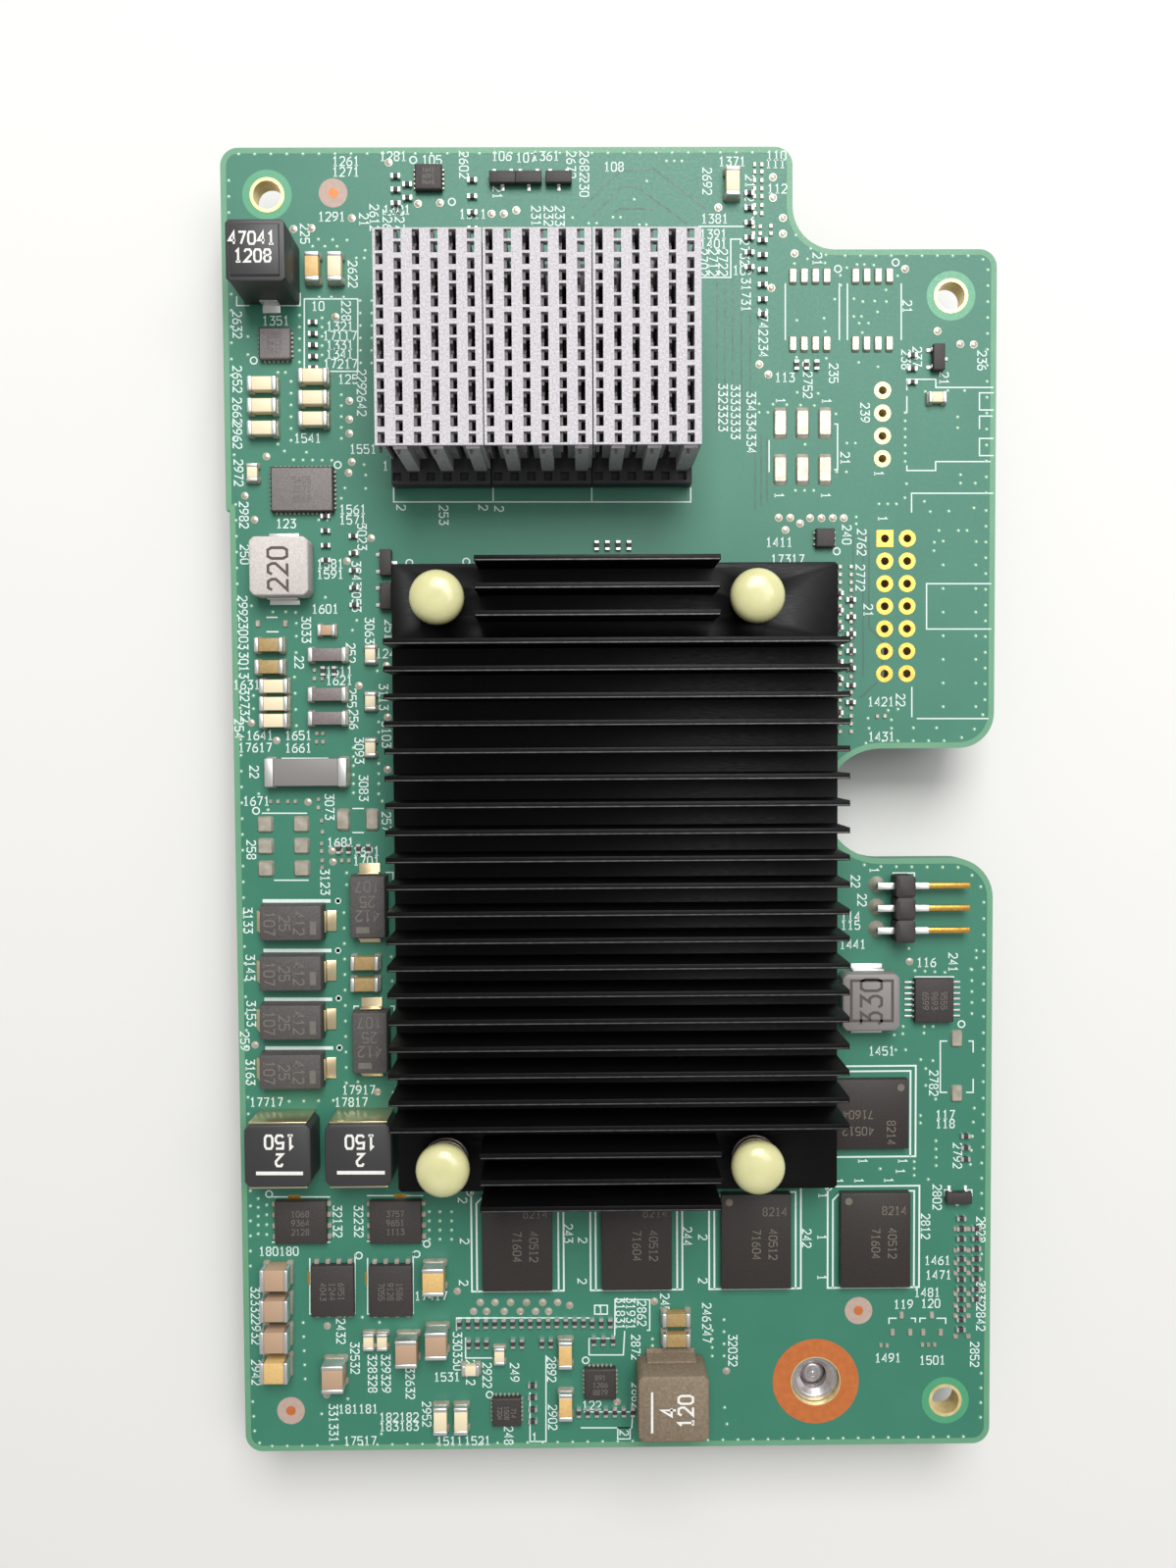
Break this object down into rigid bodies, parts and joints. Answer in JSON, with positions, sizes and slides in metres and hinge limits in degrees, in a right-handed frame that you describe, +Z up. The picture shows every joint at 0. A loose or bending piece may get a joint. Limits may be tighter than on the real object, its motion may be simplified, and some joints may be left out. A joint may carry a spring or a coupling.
{
  "type": "mezzanine network card",
  "caption": "Notched green circuit board with a slotted mezzanine connector, a finned heat sink, power parts and a captive screw.",
  "frame": {"origin": "under the middle of the board's outline, at the level of the captive screw's knob, which is the lowest point", "axes": "+X towards the card's notched side, +Y towards its connector end, +Z up, the side that faces the host"},
  "size_m": [0.0866, 0.1482, 0.023],
  "materials": {
    "laminate": "satin green solder mask",
    "connector_face": "grey, finely grained",
    "connector_seat": "black",
    "contact_blade": "dark grey with bare metal edges",
    "chip_substrate": "dark green",
    "nickel_lid": "satin nickel",
    "thermal_pad": "soft grey",
    "black_anodised": "black anodised",
    "clear_nylon": "pale yellow nylon",
    "spring_wire": "dark spring wire",
    "chip_black": "charcoal moulding compound",
    "ferrite_black": "black ferrite",
    "ferrite_grey": "grey pressed powder",
    "tinned": "bright tinned metal",
    "brass_strap": "brassy strip",
    "polymer_case": "charcoal",
    "ceramic_brown": "brown ceramic",
    "ceramic_cream": "cream ceramic",
    "gold_pin": "gold plated",
    "bright_steel": "bright steel"
  },
  "bodies": {
    "card": {"block_inductor_1": "ferrite_black", "block_inductor_2": "ferrite_black", "block_inductor_straps": "brass_strap", "captive_screw_ferrule": "bright_steel", "circuit_board": "laminate", "connector_housing_1": "connector_face", "connector_housing_2": "connector_face", "connector_housing_3": "connector_face", "connector_organiser_1": "connector_seat", "connector_organiser_2": "connector_seat", "connector_organiser_3": "connector_seat", "connector_wafers_1": "contact_blade", "connector_wafers_2": "contact_blade", "connector_wafers_3": "contact_blade", "controller_chips": "chip_black", "edge_inductor": "ferrite_grey", "edge_inductor_terminals": "tinned", "ferrite_beads": "ferrite_grey", "ferrite_beads_end_caps": "tinned", "heat_sink": "black_anodised", "large_ceramics": "ceramic_brown", "large_ceramics_end_caps": "tinned", "long_ferrite": "ferrite_grey", "long_ferrite_end_caps": "tinned", "management_chip": "chip_black", "management_chip_legs": "tinned", "medium_ceramics": "ceramic_cream", "medium_ceramics_end_caps": "tinned", "memory_chip_1": "chip_black", "memory_chip_2": "chip_black", "memory_chip_3": "chip_black", "memory_chip_4": "chip_black", "memory_chip_5": "chip_black", "network_processor": "chip_substrate", "output_inductor": "ferrite_grey", "output_inductor_terminals": "tinned", "pin_row_body": "chip_black", "pin_row_pins": "gold_pin", "polymer_capacitor_terminals": "brass_strap", "polymer_capacitors": "polymer_case", "power_transistor_leads": "tinned", "power_transistors": "chip_black", "processor_lid": "nickel_lid", "push_pin_springs": "spring_wire", "push_pins": "clear_nylon", "small_ceramics": "ceramic_cream", "small_ceramics_end_caps": "tinned", "small_transistor_legs": "tinned", "small_transistors": "chip_black", "square_inductor": "ferrite_grey", "square_inductor_terminals": "tinned", "tall_inductor": "ferrite_black", "tall_inductor_terminals": "tinned", "thermal_pad": "thermal_pad", "tiny_chip_parts": "chip_black", "underside_capacitors": "ceramic_brown"},
    "captive_screw_slider": {"captive_screw_spring": "spring_wire"},
    "captive_screw": {"captive_screw": "bright_steel"}
  },
  "joints": [
    {"name": "captive_screw_press", "type": "slide", "parent": "card", "child": "captive_screw_slider", "axis": [0, 0, 1], "range_m": [0, 0.004], "stiffness_N_per_m": 1000, "springref_m": -0.004, "deforming": ["captive_screw_spring"]},
    {"name": "captive_screw_turn", "type": "hinge", "parent": "captive_screw_slider", "child": "captive_screw", "pos_m": [0.02311, -0.06648, 0], "axis": [0, 0, 1], "continuous": true}
  ]
}
